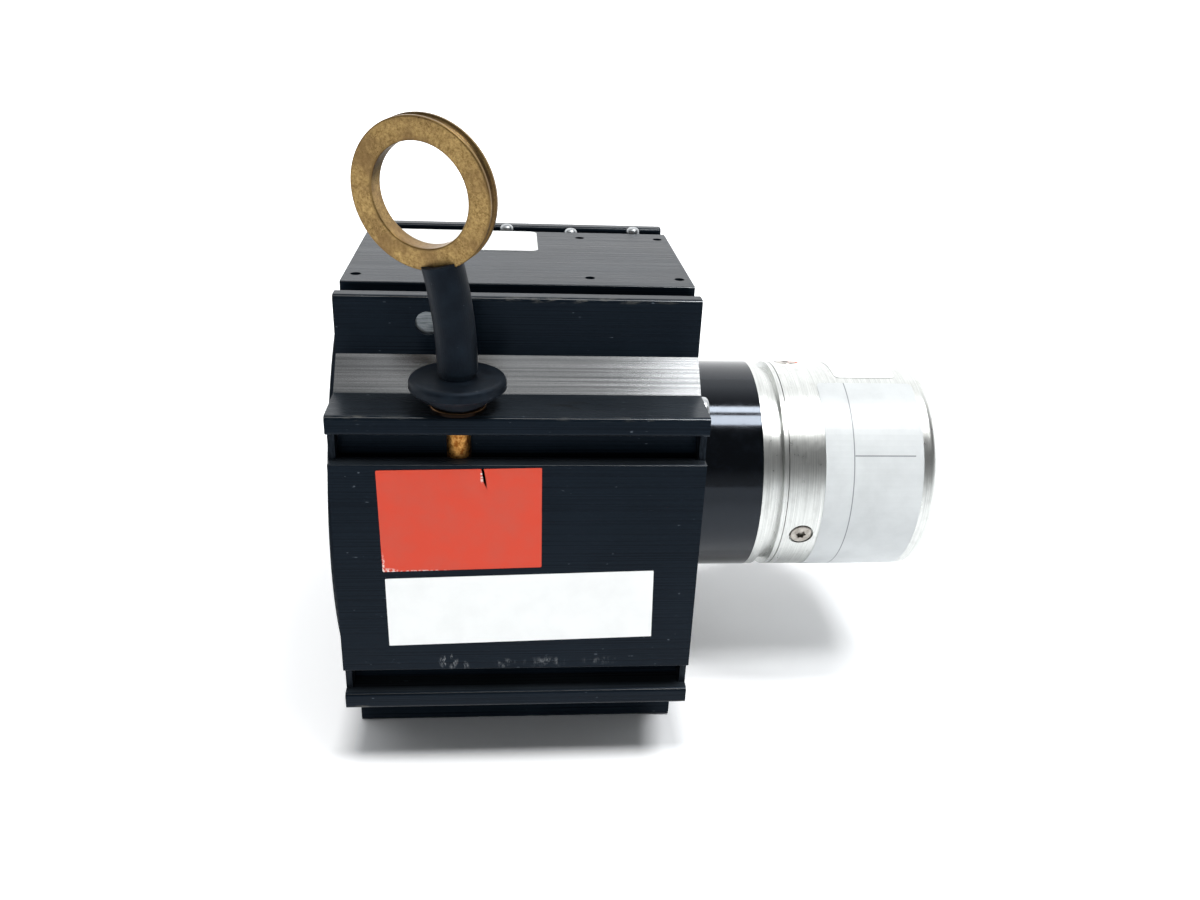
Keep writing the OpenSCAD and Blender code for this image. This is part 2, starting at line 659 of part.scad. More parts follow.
module encoder_board() color("#2f5d3a") x_ring(board_x, board_x + board_t, board_r, board_hole_r);

// Encoder housing: a cup with a rounded rear edge, three spot-faced screws and a connector seat
module encoder_housing() color("#bfc2c4") difference() {
    on_axis(shell_x0) difference() {
        round_top(encoder_r, enc_body_len, enc_round);
        translate([0, 0, -1]) cylinder(h = enc_body_len - enc_wall + 1, r = encoder_r - enc_wall);
    }
    body_screw_holes();
    for (a = body_screw_angles) at_angle(a) radial(body_screw_x, encoder_r - spot_d)
        cylinder(h = spot_d + 1, r = spot_r);
    at_connector(encoder_r - 2 * enc_wall) cylinder(h = 3 * enc_wall, r = socket_r);
}
module body_screw(n) color("#6f7275") at_angle(body_screw_angles[n - 1])
    radial(body_screw_x, encoder_r - spot_d) difference() {
        union() {
            translate([0, 0, -body_screw_len]) cylinder(h = body_screw_len + eps, r = body_screw_r);
            round_top(body_head_r, body_head_h, body_head_h / 2);
        }
        translate([0, 0, body_head_h - lobe_d]) {
            cylinder(h = lobe_d + eps, r = lobe_r, $fn = fn_small);
            for (a = [0:60:300]) rotate(a) translate([lobe_r, 0, 0])
                cylinder(h = lobe_d + eps, r = lobe_w, $fn = fn_small);
        }
    }

// Round connector on the rear of the encoder: base, threaded barrel, insert and pins
module at_connector(r) at_angle(180 + connector_dip) radial(connector_x, r) children();
module connector_shell() color("#a9adb0") difference() {
    union() {
        difference() {
            at_connector(0) cylinder(h = base_top, r = base_r);
            x_cyl(connector_x - 2 * base_r, connector_x + 2 * base_r, encoder_r);
        }
        at_connector(encoder_r - enc_wall) cylinder(h = base_top - encoder_r + enc_wall, r = socket_r);
        at_connector(base_top - eps) cylinder(h = barrel_len, r = connector_r);
    }
    at_connector(0) cylinder(h = thread_end + 1, r = socket_r - barrel_wall);
    at_connector(insert_z) cylinder(h = barrel_len, r = insert_r);
}
module connector_insert() color("#15171a") at_connector(insert_z) difference() {
    cylinder(h = insert_h, r = insert_r);
    translate([0, 0, pin_seat]) contacts(insert_h);
}
module contacts(h) for (p = pin_places) rotate(p[0]) translate([p[1], 0, 0])
    cylinder(h = h, r = pin_r, $fn = fn_small);
module connector_pins() color("#d2b46a") at_connector(insert_z + pin_seat)
    contacts(thread_end - pin_short - insert_z - pin_seat);

housing_profile();
left_plate();
middle_plate();
right_plate();
left_cover();
cover_screw(1);  // cover_screw_1
cover_screw(2);  // cover_screw_2
cover_screw(3);  // cover_screw_3
cover_screw(4);  // cover_screw_4
corner_screw(1);  // corner_screw_1
corner_screw(2);  // corner_screw_2
corner_screw(3);  // corner_screw_3
corner_screw(4);  // corner_screw_4
set_screw(1);  // set_screw_1
set_screw(2);  // set_screw_2
set_screw(3);  // set_screw_3
set_screw(4);  // set_screw_4
set_screw(5);  // set_screw_5
set_screw(6);  // set_screw_6
lip_plug();
slot_nut(1);  // slot_nut_1
slot_nut(2);  // slot_nut_2
slot_nut(3);  // slot_nut_3
slot_screw(1);  // slot_screw_1
slot_screw(2);  // slot_screw_2
slot_screw(3);  // slot_screw_3
nozzle();
shaft_bearing(-end_x);  // bearing_left
shaft_bearing(middle_x0);  // bearing_middle
shaft_bearing(end_x - bearing_w);  // bearing_right
power_spring();
spring_anchor();
drum();
drum_shaft();
wire_winding();
spring_arbor();
shaft_coupling();
draw_wire();
wire_tail();
wire_terminal();
bump_stop();
sleeve();
eye_ring();
adapter();
encoder_flange();
encoder_bearing(1);  // encoder_bearing_1
encoder_bearing(2);  // encoder_bearing_2
encoder_shaft();
code_disc();
encoder_board();
encoder_housing();
body_screw(1);  // body_screw_1
body_screw(2);  // body_screw_2
body_screw(3);  // body_screw_3
connector_shell();
connector_insert();
connector_pins();
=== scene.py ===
"""Draw wire encoder: finishes, stickers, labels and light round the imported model."""
import json
import math

import bmesh
import bpy
from mathutils import Matrix, Vector


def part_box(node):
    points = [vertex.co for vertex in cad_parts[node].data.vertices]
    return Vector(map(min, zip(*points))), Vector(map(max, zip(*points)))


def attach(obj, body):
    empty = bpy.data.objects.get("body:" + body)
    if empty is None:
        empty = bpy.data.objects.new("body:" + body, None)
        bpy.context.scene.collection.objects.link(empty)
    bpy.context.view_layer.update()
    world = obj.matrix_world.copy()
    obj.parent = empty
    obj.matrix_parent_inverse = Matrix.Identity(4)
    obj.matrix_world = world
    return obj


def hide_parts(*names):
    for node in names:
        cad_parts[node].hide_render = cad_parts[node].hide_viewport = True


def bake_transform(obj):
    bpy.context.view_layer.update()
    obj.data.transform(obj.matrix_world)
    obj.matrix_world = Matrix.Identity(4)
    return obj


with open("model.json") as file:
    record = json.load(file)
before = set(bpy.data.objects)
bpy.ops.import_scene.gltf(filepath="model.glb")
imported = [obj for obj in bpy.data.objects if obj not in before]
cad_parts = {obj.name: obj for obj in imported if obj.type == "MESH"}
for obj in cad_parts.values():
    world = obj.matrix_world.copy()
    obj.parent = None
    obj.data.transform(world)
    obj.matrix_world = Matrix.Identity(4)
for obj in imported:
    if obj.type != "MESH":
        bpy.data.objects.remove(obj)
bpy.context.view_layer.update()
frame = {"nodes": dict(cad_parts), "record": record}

MM = 0.001


# ---------------------------------------------------------------- sizes taken from the model

def corners(node):
    """The lowest and the highest corner of a CAD node, in millimetres."""
    return [[value / MM for value in corner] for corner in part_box(node)]


(_, FRONT_Y, _), (_, _, TOP_Z) = corners("housing_profile")
AXIS_Z = TOP_Z / 2
COLLAR_TOP = corners("nozzle")[1][2]
COLLAR_H = 0.9  # height of the nozzle's collar above the lip
LIP_OUT = COLLAR_TOP - COLLAR_H - AXIS_Z  # from the axis to a lip's outer side
(ENCODER_X0, _, encoder_low), (ENCODER_X1, _, encoder_high) = corners("encoder_housing")
ENCODER_R = (encoder_high - encoder_low) / 2
wire_low, wire_high = corners("draw_wire")
WIRE_X = (wire_low[0] + wire_high[0]) / 2
WIRE_Y = (wire_low[1] + wire_high[1]) / 2
WIRE_R = (wire_high[0] - wire_low[0]) / 2
ring_low, ring_high = [Vector(corner) for corner in corners("eye_ring")]
RING_MIDDLE = (ring_low + ring_high) / 2
RING_TURN = math.radians(25)    # turn of the ring's front to the left, round the sleeve's end
RING_LEAN = math.radians(13.5)  # lean of the sleeve's end to the left
RING_AXIS = Vector((-math.sin(RING_TURN) * math.cos(RING_LEAN), -math.cos(RING_TURN),
                    -math.sin(RING_TURN) * math.sin(RING_LEAN)))  # across the ring's flat faces
RING_R = 15.55                  # radius of the ring
RING_BORE = 10.75               # radius of its hole
RIM_GROOVE = 2.0                # width of the groove round its rim
FILM = 0.12                     # thickness of stickers and labels


# ---------------------------------------------------------------- shader tools

def linear(code, alpha=1.0):
    """A hex sRGB colour as the linear colour that shaders take."""
    parts = [int(code[i:i + 2], 16) / 255 for i in (1, 3, 5)]
    return [p / 12.92 if p <= 0.04045 else ((p + 0.055) / 1.055) ** 2.4 for p in parts] + [alpha]


def feed(tree, node, inputs):
    """Set or link a node's inputs; each gets a number, a hex colour, a node or a node's output."""
    for name, value in inputs.items():
        if isinstance(name, str):
            socket = next(s for s in node.inputs if s.name == name and s.enabled)
        else:
            socket = node.inputs[name]
        if isinstance(value, bpy.types.Node):
            value = next(s for s in value.outputs if s.enabled)
        if isinstance(value, bpy.types.NodeSocket):
            tree.links.new(value, socket)
        else:
            socket.default_value = linear(value) if isinstance(value, str) else value


def add(tree, kind, inputs=None, **settings):
    """Add one shader node with its settings and links."""
    made = tree.nodes.new("ShaderNode" + kind)
    for name, value in settings.items():
        setattr(made, name, value)
    feed(tree, made, inputs or {})
    return made


def finish(name, **surface):
    """A new material; surface sets its shader's sockets by name, with _ for a space."""
    made = bpy.data.materials.new(name)
    made.use_nodes = True
    tree = made.node_tree
    shader = tree.nodes["Principled BSDF"]
    feed(tree, shader, {socket.replace("_", " "): value for socket, value in surface.items()})
    return made, tree, shader


def millimetres(tree, scale=(1, 1, 1)):
    """The place on the object in millimetres, stretched by scale."""
    return add(tree, "Mapping", {
        "Vector": add(tree, "TexCoord").outputs["Object"],
        "Scale": [s / MM for s in scale]})


def near(tree, centre, reach, soft):
    """1 round a point in the frame, in millimetres, falling to 0 at reach along each axis."""
    offset = add(tree, "VectorMath", {0: millimetres(tree), 1: centre}, operation="SUBTRACT")
    shrunk = add(tree, "VectorMath", {0: offset, 1: reach}, operation="DIVIDE")
    length = add(tree, "VectorMath", {0: shrunk}, operation="LENGTH")
    return add(tree, "MapRange", {
        "Value": length, "From Min": 1 - soft, "From Max": 1.0, "To Min": 1.0, "To Max": 0.0})


def marked(tree, skin, pattern, marks, colour, soft):
    """Lay a colour over the skin where the pattern shows; each mark has a place, a reach and a share."""
    for place, reach, share in marks:
        shown = add(tree, "Math", {
            0: pattern, 1: near(tree, place, reach, soft)}, operation="MULTIPLY")
        shown = add(tree, "Math", {0: shown, 1: share}, operation="MULTIPLY")
        skin = add(tree, "Mix", {"Factor": shown, "A": skin, "B": colour}, data_type="RGBA")
    return skin


# ---------------------------------------------------------------- materials

def worn_skin(tree, lines, haze):
    """The extrusion's black skin: die lines and haze, then nicks, a smear, chalk and worn edges."""
    lined = add(tree, "Mix", {
        "Factor": add(tree, "MapRange", {"Value": lines, "From Min": 0.35, "From Max": 0.7}),
        "A": "#060b11", "B": "#0c141b"}, data_type="RGBA")
    skin = add(tree, "Mix", {
        "Factor": add(tree, "MapRange", {
            "Value": haze, "From Min": 0.45, "From Max": 0.75, "To Max": 0.4}),
        "A": lined, "B": "#121a22"}, data_type="RGBA")
    # nicks through the skin, about 1 mm long, in patches far apart
    nicks = add(tree, "TexNoise", {
        "Vector": millimetres(tree, (0.55, 1.5, 1.5)), "Scale": 1.0, "Detail": 1.0})
    patches = add(tree, "TexNoise", {"Vector": millimetres(tree), "Scale": 0.09, "Detail": 1.0})
    nicks = add(tree, "Math", {
        0: add(tree, "MapRange", {"Value": nicks, "From Min": 0.75, "From Max": 0.79}),
        1: add(tree, "MapRange", {"Value": patches, "From Min": 0.5, "From Max": 0.6})},
        operation="MULTIPLY")
    skin = add(tree, "Mix", {"Factor": nicks, "A": skin, "B": "#4c535a"}, data_type="RGBA")
    # a greasy dark smear on the lip, right of the wire
    smear = add(tree, "TexNoise", {
        "Vector": millimetres(tree, (0.3, 0.6, 0.6)),
        "Scale": 1.0, "Detail": 4.0, "Roughness": 0.7})
    smear = add(tree, "MapRange", {"Value": smear, "From Min": 0.5, "From Max": 0.56})
    skin = marked(tree, skin, smear, [
        ((13.5, -52, AXIS_Z + LIP_OUT), (9, 3.2, 2), 1.0)], "#010203", soft=0.5)
    # chalky rub marks low on the front panel
    chalk = add(tree, "TexNoise", {
        "Vector": millimetres(tree, (1.1, 0.8, 0.45)),
        "Scale": 1.0, "Detail": 5.0, "Roughness": 0.7})
    chalk = add(tree, "MapRange", {"Value": chalk, "From Min": 0.5, "From Max": 0.68})
    skin = marked(tree, skin, chalk, [
        ((-16.6, FRONT_Y, 34.4), (2.4, 2, 2.8), 0.9),
        ((-12.8, FRONT_Y, 32.6), (1.2, 2, 1.8), 0.6),
        ((-3.0, FRONT_Y, 33.4), (3.0, 2, 1.6), 0.25),
        ((6.5, FRONT_Y, 33.6), (6.0, 2, 1.8), 0.25),
        ((19.7, FRONT_Y, 33.9), (5.0, 2, 1.4), 0.16)], "#b9bdc0", soft=0.6)
    # bare metal along worn edges: the top face's front lip, the lip behind the wire, the lowest lip
    wear = add(tree, "TexNoise", {
        "Vector": millimetres(tree, (0.25, 1.2, 1.2)),
        "Scale": 1.0, "Detail": 4.0, "Roughness": 0.7})
    wear = add(tree, "MapRange", {"Value": wear, "From Min": 0.5, "From Max": 0.7})
    return marked(tree, skin, wear, [
        ((14, -LIP_OUT, TOP_Z), (34, 1.4, 1.4), 0.25),
        ((-34, FRONT_Y, AXIS_Z + LIP_OUT), (16, 1.1, 1.1), 0.25),
        ((22, FRONT_Y, AXIS_Z + LIP_OUT), (26, 1.0, 1.0), 0.14),
        ((-38.5, FRONT_Y, AXIS_Z - LIP_OUT), (4.5, 1.2, 1.2), 0.9),
        ((40.5, FRONT_Y, AXIS_Z - LIP_OUT), (1.5, 1.0, 1.0), 0.8)], "#a9a69c", soft=0.5)


def black_anodised_extrusion():
    """Hard-anodised aluminium, extruded: a satin blue-black skin with die lines along its length.

    The dyed oxide is porous, so it reflects little, and what it reflects is tinted. The lines are
    0.1 mm to 0.4 mm apart, the finest are left out, and they draw highlights out across them. The
    sloping faces of the stepped corners are brushed: dark bare metal with streaks, which mirrors
    the lamps."""
    made, tree, shader = finish("black_anodised_extrusion", IOR=1.27, Specular_Tint="#a5b8d0",
                                Anisotropic=0.8)
    lines = add(tree, "TexNoise", {
        "Vector": millimetres(tree, (0.012, 2.6, 2.6)),
        "Scale": 1.0, "Detail": 3.0, "Roughness": 0.65})
    haze = add(tree, "TexNoise", {"Vector": millimetres(tree), "Scale": 0.05, "Detail": 4.0})
    skin = worn_skin(tree, lines, haze)
    normal = add(tree, "SeparateXYZ", {"Vector": add(tree, "NewGeometry").outputs["True Normal"]})
    # painted sheen: the faces that look up are lighter, in patches
    dust_and_sheen = add(tree, "Math", {
        0: add(tree, "MapRange", {"Value": normal.outputs["Z"], "From Min": 0.9}),
        1: add(tree, "MapRange", {"Value": haze, "From Min": 0.3, "From Max": 0.7,
                                  "To Min": 0.08, "To Max": 0.16})}, operation="MULTIPLY")
    skin = add(tree, "Mix", {"Factor": dust_and_sheen, "A": skin, "B": "#5f666c"}, data_type="RGBA")
    # 1 on the sloping faces, which lie at 45 degrees between two faces
    slope = add(tree, "Math", {
        0: add(tree, "Math", {0: normal.outputs["Y"]}, operation="ABSOLUTE"),
        1: add(tree, "Math", {0: normal.outputs["Z"]}, operation="ABSOLUTE")}, operation="MINIMUM")
    slope = add(tree, "MapRange", {"Value": slope, "From Min": 0.68, "From Max": 0.70})
    streaks = add(tree, "TexNoise", {
        "Vector": millimetres(tree, (0.01, 1.6, 1.6)),
        "Scale": 1.0, "Detail": 6.0, "Roughness": 0.8})
    brushed = add(tree, "Mix", {
        "Factor": add(tree, "MapRange", {"Value": streaks, "From Min": 0.35, "From Max": 0.65}),
        "A": "#3c3e3f", "B": "#666768"}, data_type="RGBA")
    satin = add(tree, "MapRange", {
        "Value": lines, "From Min": 0.3, "From Max": 0.75, "To Min": 0.24, "To Max": 0.34})
    polished = add(tree, "MapRange", {
        "Value": streaks, "From Min": 0.3, "From Max": 0.7, "To Min": 0.19, "To Max": 0.27})
    feed(tree, shader, {
        "Base Color": add(tree, "Mix", {"Factor": slope, "A": skin, "B": brushed},
                          data_type="RGBA"),
        "Metallic": slope,
        "Roughness": add(tree, "Mix", {"Factor": slope, "A": satin, "B": polished}),
        "Tangent": add(tree, "Tangent", direction_type="RADIAL", axis="X"),
        "Normal": add(tree, "Bump", {"Height": lines, "Distance": 0.02 * MM})})
    return made


def black_anodised_cover():
    """Hard-anodised aluminium, turned: the same black skin with rings round the middle."""
    made, tree, shader = finish("black_anodised_cover", IOR=1.27, Roughness=0.3,
                                Specular_Tint="#a5b8d0")
    place = add(tree, "SeparateXYZ", {"Vector": millimetres(tree)})
    high = add(tree, "Math", {0: place.outputs["Z"], 1: AXIS_Z}, operation="SUBTRACT")
    radius = add(tree, "VectorMath", {
        0: add(tree, "CombineXYZ", {"X": place.outputs["Y"], "Y": high})}, operation="LENGTH")
    rings = add(tree, "TexNoise", {"W": radius, "Scale": 3.0, "Detail": 3.0}, noise_dimensions="1D")
    feed(tree, shader, {
        "Base Color": add(tree, "Mix", {"Factor": rings, "A": "#05090e", "B": "#111820"},
                          data_type="RGBA"),
        "Normal": add(tree, "Bump", {"Height": rings, "Distance": 0.02 * MM})})
    return made


def black_gloss_lacquer():
    """Lacquered turned aluminium: deep black with sharp reflections and a trace of dust."""
    made, tree, shader = finish("black_gloss_lacquer", IOR=1.5, Specular_Tint="#c6d1e0")
    dust_and_sheen = add(tree, "TexNoise", {
        "Vector": millimetres(tree), "Scale": 0.25, "Detail": 6.0, "Roughness": 0.7})
    feed(tree, shader, {
        "Base Color": add(tree, "Mix", {
            "Factor": add(tree, "MapRange", {"Value": dust_and_sheen, "From Min": 0.5, "From Max": 0.75}),
            "A": "#010204", "B": "#080c12"}, data_type="RGBA"),
        "Roughness": add(tree, "MapRange", {
            "Value": dust_and_sheen, "From Min": 0.3, "From Max": 0.7, "To Min": 0.07, "To Max": 0.14})})
    return made


def turned_aluminium():
    """Fine-turned aluminium: bright metal with hair lines round it, about 0.2 mm apart.

    It is bare, so handling has clouded it a little."""
    made, tree, shader = finish("turned_aluminium", Metallic=1.0)
    lines = add(tree, "TexNoise", {
        "Vector": millimetres(tree, (5.0, 0.04, 0.04)),
        "Scale": 1.0, "Detail": 3.0, "Roughness": 0.7})
    cloud = add(tree, "TexNoise", {
        "Vector": millimetres(tree, (1.0, 0.6, 0.6)),
        "Scale": 0.5, "Detail": 6.0, "Roughness": 0.65})
    metal = add(tree, "Mix", {
        "Factor": add(tree, "MapRange", {"Value": lines, "From Min": 0.35, "From Max": 0.65}),
        "A": "#b9bbb9", "B": "#d9dbd8"}, data_type="RGBA")
    feed(tree, shader, {
        "Base Color": add(tree, "Mix", {
            "Factor": add(tree, "MapRange", {
                "Value": cloud, "From Min": 0.5, "From Max": 0.75, "To Max": 0.35}),
            "A": metal, "B": "#a09f9b"}, data_type="RGBA"),
        "Roughness": add(tree, "MapRange", {
            "Value": cloud, "From Min": 0.3, "From Max": 0.7, "To Min": 0.26, "To Max": 0.36}),
        "Normal": add(tree, "Bump", {"Height": lines, "Distance": 0.012 * MM})})
    return made


def milled_anodised_plate():
    """Milled plate, anodised black: duller than the extrusion, with tool marks 0.5 mm apart."""
    made, tree, shader = finish("milled_anodised_plate", IOR=1.27, Roughness=0.4,
                                Specular_Tint="#a5b8d0")
    marks = add(tree, "TexNoise", {
        "Vector": millimetres(tree, (2.0, 0.5, 0.5)), "Scale": 1.0, "Detail": 4.0})
    feed(tree, shader, {
        "Base Color": add(tree, "Mix", {
            "Factor": add(tree, "MapRange", {"Value": marks, "From Min": 0.4, "From Max": 0.65}),
            "A": "#06090d", "B": "#1b2025"}, data_type="RGBA"),
        "Normal": add(tree, "Bump", {"Height": marks, "Distance": 0.05 * MM})})
    return made


def milled_aluminium():
    """Bare milled plate: pale grey, with tool marks that hide most reflections."""
    made, tree, shader = finish("milled_aluminium", Metallic=1.0, Roughness=0.38)
    marks = add(tree, "TexNoise", {
        "Vector": millimetres(tree, (2.0, 0.5, 0.5)), "Scale": 1.0, "Detail": 4.0})
    feed(tree, shader, {
        "Base Color": add(tree, "Mix", {"Factor": marks, "A": "#8f9397", "B": "#c6c9cb"},
                          data_type="RGBA"),
        "Normal": add(tree, "Bump", {"Height": marks, "Distance": 0.03 * MM})})
    return made


def brushed_plug():
    """Brushed bare steel: fine lines along the housing, and a satin shine."""
    made, tree, shader = finish("brushed_plug", Metallic=1.0)
    lines = add(tree, "TexNoise", {
        "Vector": millimetres(tree, (0.3, 3.5, 3.5)),
        "Scale": 1.0, "Detail": 4.0, "Roughness": 0.7})
    lined = add(tree, "MapRange", {"Value": lines, "From Min": 0.35, "From Max": 0.65})
    feed(tree, shader, {
        "Base Color": add(tree, "Mix", {"Factor": lined, "A": "#6d7377", "B": "#a4aaad"},
                          data_type="RGBA"),
        "Roughness": add(tree, "MapRange", {"Value": lines, "To Min": 0.3, "To Max": 0.45}),
        "Normal": add(tree, "Bump", {"Height": lines, "Distance": 0.03 * MM})})
    return made


def aged_brass():
    """Turned brass after years of handling: dull gold, stained brown in clouds, with dark pits."""
    made, tree, shader = finish("aged_brass", Metallic=1.0)
    mottle = add(tree, "TexNoise", {
        "Vector": millimetres(tree), "Scale": 1.3, "Detail": 8.0, "Roughness": 0.78})
    stain = add(tree, "TexNoise", {
        "Vector": millimetres(tree), "Scale": 0.13, "Detail": 5.0, "Roughness": 0.6})
    grit = add(tree, "TexNoise", {
        "Vector": millimetres(tree), "Scale": 3.2, "Detail": 3.0, "Roughness": 0.7})
    patches = add(tree, "TexNoise", {"Vector": millimetres(tree), "Scale": 0.16, "Detail": 2.0})
    gold = add(tree, "Mix", {
        "Factor": add(tree, "MapRange", {"Value": mottle, "From Min": 0.33, "From Max": 0.66}),
        "A": "#745a36", "B": "#c2a36a"}, data_type="RGBA")
    gold = add(tree, "Mix", {
        "Factor": add(tree, "MapRange", {
            "Value": stain, "From Min": 0.44, "From Max": 0.58, "To Max": 0.65}),
        "A": gold, "B": "#7a6040"}, data_type="RGBA")
    pits = add(tree, "Math", {
        0: add(tree, "MapRange", {"Value": grit, "From Min": 0.56, "From Max": 0.66}),
        1: add(tree, "MapRange", {
            "Value": patches, "From Min": 0.46, "From Max": 0.6, "To Min": 0.12, "To Max": 0.85})},
        operation="MULTIPLY")
    gold = add(tree, "Mix", {"Factor": pits, "A": gold, "B": "#4a3820"}, data_type="RGBA")
    # places on the ring: how far off its middle plane, and how far from its middle
    offset = add(tree, "VectorMath", {0: millimetres(tree), 1: RING_MIDDLE}, operation="SUBTRACT")
    aside = add(tree, "Math", {
        0: add(tree, "VectorMath", {0: offset, 1: RING_AXIS}, operation="DOT_PRODUCT")},
        operation="ABSOLUTE")
    away = add(tree, "VectorMath", {0: offset}, operation="LENGTH")
    # the groove round the rim is darker, with dark patina and painted shade, and the hole isn't
    wall_middle = (RING_R + RING_BORE) / 2
    groove_patina_and_shade = add(tree, "Math", {
        0: add(tree, "MapRange", {
            "Value": aside, "From Min": RIM_GROOVE / 2 - 0.2, "From Max": RIM_GROOVE / 2 + 0.2,
            "To Min": 0.8, "To Max": 0.0}),
        1: add(tree, "MapRange", {
            "Value": away, "From Min": wall_middle, "From Max": wall_middle + 0.5})},
        operation="MULTIPLY")
    gold = add(tree, "Mix", {"Factor": groove_patina_and_shade, "A": gold, "B": "#38291a"}, data_type="RGBA")
    # darker along the flat faces' outer and inner edges, at these distances from the ring's middle
    for edge in (RING_R + 0.02, RING_BORE + 0.28):
        gap = add(tree, "Math", {
            0: add(tree, "Math", {0: away, 1: edge}, operation="SUBTRACT")}, operation="ABSOLUTE")
        edge_darkening = add(tree, "Math", {
            0: add(tree, "MapRange", {
                "Value": gap, "From Min": 0.05, "From Max": 0.4, "To Min": 0.6, "To Max": 0.0}),
            1: add(tree, "MapRange", {"Value": mottle, "From Min": 0.3, "From Max": 0.55})},
            operation="MULTIPLY")
        gold = add(tree, "Mix", {"Factor": edge_darkening, "A": gold, "B": "#4a3820"}, data_type="RGBA")
    feed(tree, shader, {
        "Base Color": gold,
        "Roughness": add(tree, "MapRange", {
            "Value": mottle, "From Min": 0.3, "From Max": 0.7, "To Min": 0.48, "To Max": 0.34}),
        "Normal": add(tree, "Bump", {"Height": mottle, "Distance": 0.04 * MM, "Strength": 0.6})})
    return made


def tarnished_brass_painted_light():
    """Drawn brass tube gone copper-brown, with flaked bright spots and a collar in painted shade.

    A painted highlight runs along the collar's upper face."""
    made, tree, shader = finish("tarnished_brass_painted_light", Metallic=1.0, Roughness=0.42)
    flakes = add(tree, "TexNoise", {
        "Vector": millimetres(tree), "Scale": 0.9, "Detail": 5.0, "Roughness": 0.7})
    tube = add(tree, "Mix", {
        "Factor": add(tree, "MapRange", {"Value": flakes, "From Min": 0.4, "From Max": 0.62}),
        "A": "#8a5120", "B": "#dba55c"}, data_type="RGBA")
    height = add(tree, "SeparateXYZ", {"Vector": millimetres(tree)}).outputs["Z"]
    highlight_from = COLLAR_TOP - 0.2
    under_collar = COLLAR_TOP - COLLAR_H - 0.45
    soft = 0.05
    # painted shade on the collar, and a painted highlight along its upper face
    collar = add(tree, "Mix", {
        "Factor": add(tree, "MapRange", {
            "Value": height, "From Min": highlight_from - soft, "From Max": highlight_from + soft}),
        "A": "#1d1510", "B": "#8b6848"}, data_type="RGBA")
    feed(tree, shader, {
        "Base Color": add(tree, "Mix", {
            "Factor": add(tree, "MapRange", {
                "Value": height, "From Min": under_collar - soft, "From Max": under_collar + soft}),
            "A": tube, "B": collar}, data_type="RGBA"),
        "Normal": add(tree, "Bump", {"Height": flakes, "Distance": 0.05 * MM})})
    return made


def black_rubber():
    """Moulded nitrile rubber: blue-black and matt, with fine skin, grey dust and a few nicks."""
    made, tree, shader = finish("black_rubber", IOR=1.35, Specular_Tint="#a5b8d0")
    skin = add(tree, "TexNoise", {
        "Vector": millimetres(tree), "Scale": 3.0, "Detail": 5.0, "Roughness": 0.6})
    dust_and_sheen = add(tree, "TexNoise", {"Vector": millimetres(tree), "Scale": 0.3, "Detail": 4.0})
    nicks = add(tree, "TexNoise", {
        "Vector": millimetres(tree, (0.8, 0.8, 1.6)), "Scale": 1.0, "Detail": 2.0})
    colour = add(tree, "Mix", {
        "Factor": add(tree, "MapRange", {"Value": dust_and_sheen, "From Min": 0.4, "From Max": 0.75}),
        "A": "#05090f", "B": "#10171e"}, data_type="RGBA")
    feed(tree, shader, {
        "Base Color": add(tree, "Mix", {
            "Factor": add(tree, "MapRange", {
                "Value": nicks, "From Min": 0.74, "From Max": 0.79, "To Max": 0.5}),
            "A": colour, "B": "#545a60"}, data_type="RGBA"),
        "Roughness": add(tree, "MapRange", {
            "Value": dust_and_sheen, "From Min": 0.3, "From Max": 0.7, "To Min": 0.46, "To Max": 0.6}),
        "Normal": add(tree, "Bump", {"Height": skin, "Distance": 0.025 * MM})})
    return made


def plated_steel(name, pale, dark, roughness):
    """Plated or ground steel: small parts with a soft shine and a little staining."""
    made, tree, shader = finish(name, Metallic=1.0)
    stain = add(tree, "TexNoise", {"Vector": millimetres(tree), "Scale": 0.6, "Detail": 5.0})
    feed(tree, shader, {
        "Base Color": add(tree, "Mix", {
            "Factor": add(tree, "MapRange", {"Value": stain, "From Min": 0.35, "From Max": 0.7}),
            "A": dark, "B": pale}, data_type="RGBA"),
        "Roughness": add(tree, "MapRange", {
            "Value": stain, "From Min": 0.3, "From Max": 0.7,
            "To Min": roughness - 0.04, "To Max": roughness + 0.06})})
    return made


def stranded_steel():
    """Steel wire rope: six strands laid round a core, 6 mm to a turn, with painted shade between them.
    """
    strand_count, lay = 6.0, 6.0
    made, tree, shader = finish("stranded_steel", Metallic=1.0, Roughness=0.35)
    place = add(tree, "SeparateXYZ", {"Vector": millimetres(tree)})
    across = add(tree, "Math", {0: place.outputs["X"], 1: WIRE_X}, operation="SUBTRACT")
    deep = add(tree, "Math", {0: place.outputs["Y"], 1: WIRE_Y}, operation="SUBTRACT")
    angle = add(tree, "Math", {0: deep, 1: across}, operation="ARCTAN2")
    turn = add(tree, "Math", {0: place.outputs["Z"], 1: math.tau / lay}, operation="MULTIPLY")
    strands = add(tree, "Math", {
        0: add(tree, "Math", {0: angle, 1: turn}, operation="ADD"), 1: strand_count},
        operation="MULTIPLY")
    # darker between the strands: painted shade
    wave = add(tree, "MapRange", {
        "Value": add(tree, "Math", {0: strands}, operation="SINE"), "From Min": -1.0})
    feed(tree, shader, {
        "Base Color": add(tree, "Mix", {"Factor": wave, "A": "#5c5e60", "B": "#c2c5c7"},
                          data_type="RGBA"),
        "Normal": add(tree, "Bump", {"Height": wave, "Distance": 0.15 * MM})})
    return made


